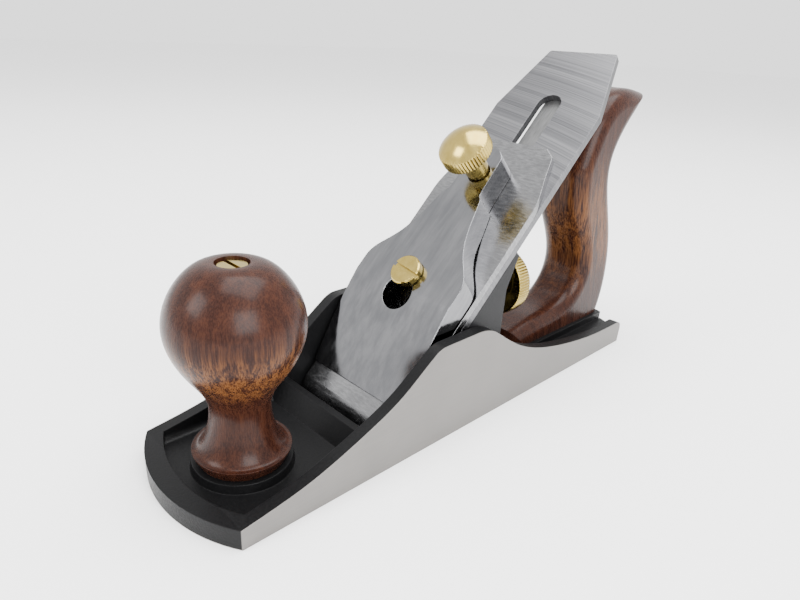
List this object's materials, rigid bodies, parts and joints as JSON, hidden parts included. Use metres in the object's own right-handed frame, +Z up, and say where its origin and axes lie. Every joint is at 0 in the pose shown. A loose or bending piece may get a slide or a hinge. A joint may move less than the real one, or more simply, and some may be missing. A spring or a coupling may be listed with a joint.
{
  "type": "hand plane",
  "caption": "Metal smoothing plane with a wooden front knob and rear handle, brass adjusters and a sloping blade under a lever cap.",
  "frame": {"origin": "middle of the sole, on its lower face", "axes": "+X towards the toe, +Y towards the left cheek, +Z up"},
  "size_m": [0.252, 0.0636, 0.1358],
  "materials": {
    "cast_body": "machined cheeks and sole, black painted inside",
    "wood": "dark reddish brown, semi-gloss varnish",
    "brass": "polished",
    "black_paint": "satin black paint on cast iron",
    "yoke_iron": "dark cast iron",
    "lever_steel": "matte",
    "cap_metal": "satin polished",
    "bright_steel": "polished",
    "blade_steel": "ground",
    "hardware_steel": "plain"
  },
  "bodies": {
    "casting_body": {"body_casting": "cast_body", "front_knob": "wood", "knob_rod": "hardware_steel", "knob_nut": "brass", "tote": "wood", "tote_rod": "hardware_steel", "tote_nut": "brass", "frog_screws": "hardware_steel", "frog_washers": "hardware_steel"},
    "frog_body": {"frog": "black_paint", "frog_adjusting_plate": "hardware_steel", "frog_plate_screw": "hardware_steel", "depth_stud": "hardware_steel", "yoke_pin": "hardware_steel", "lateral_rivet": "hardware_steel", "lever_cap_screw": "brass"},
    "adjusting_screw_body": {"frog_adjusting_screw": "hardware_steel"},
    "wheel_body": {"depth_wheel": "brass"},
    "yoke_body": {"yoke": "yoke_iron"},
    "chipbreaker_body": {"chipbreaker": "bright_steel", "chipbreaker_screw": "hardware_steel"},
    "blade_body": {"blade": "blade_steel"},
    "lateral_body": {"lateral_lever": "lever_steel", "lateral_roller": "hardware_steel"},
    "cap_body": {"lever_cap": "cap_metal"},
    "thumbscrew_body": {"thumbscrew": "brass"}
  },
  "joints": [
    {"name": "frog_slide", "type": "slide", "parent": "casting_body", "child": "frog_body", "axis": [1, 0, 0], "range_m": [-0.0004, 0.0009]},
    {"name": "adjusting_screw_turn", "type": "hinge", "parent": "frog_body", "child": "adjusting_screw_body", "pos_m": [-0.01275, 0, 0.0095], "axis": [1, 0, 0], "range_deg": [-150, 330]},
    {"name": "depth_wheel_turn", "type": "hinge", "parent": "frog_body", "child": "wheel_body", "pos_m": [-0.0425, 0, 0.0393], "axis": [1, 0, 0], "range_deg": [-309.4, 360.96]},
    {"name": "yoke_rock", "type": "hinge", "parent": "frog_body", "child": "yoke_body", "pos_m": [-0.014, 0, 0.0495], "axis": [0, 1, 0], "range_deg": [-6.3, 6.3]},
    {"name": "blade_depth", "type": "slide", "parent": "frog_body", "child": "chipbreaker_body", "axis": [-0.7071, 0, 0.7071], "range_m": [-0.0012, 0.0014]},
    {"name": "lateral_swing", "type": "hinge", "parent": "frog_body", "child": "lateral_body", "pos_m": [-0.01736, 0, 0.06611], "axis": [0.7071, 0, 0.7071], "range_deg": [-6, 6]},
    {"name": "blade_skew", "type": "hinge", "parent": "chipbreaker_body", "child": "blade_body", "pos_m": [0.01905, 0, 0.0297], "axis": [0.7071, 0, 0.7071], "range_deg": [-1.6, 1.6]},
    {"name": "cap_release", "type": "slide", "parent": "frog_body", "child": "cap_body", "axis": [-0.7071, 0, 0.7071], "range_m": [0, 0.0085]},
    {"name": "thumbscrew_turn", "type": "hinge", "parent": "cap_body", "child": "thumbscrew_body", "pos_m": [-0.01666, 0, 0.09369], "axis": [0.7071, 0, 0.7071], "range_deg": [0, 720]}
  ],
  "couplings": [
    {"joint": "adjusting_screw_turn", "follows": "frog_slide", "rad_per_m": 6283.2},
    {"joint": "depth_wheel_turn", "follows": "blade_depth", "rad_per_m": 4277.2},
    {"joint": "yoke_rock", "follows": "blade_depth", "rad_per_m": -72.156},
    {"joint": "blade_skew", "follows": "lateral_swing", "ratio": -0.2561}
  ]
}
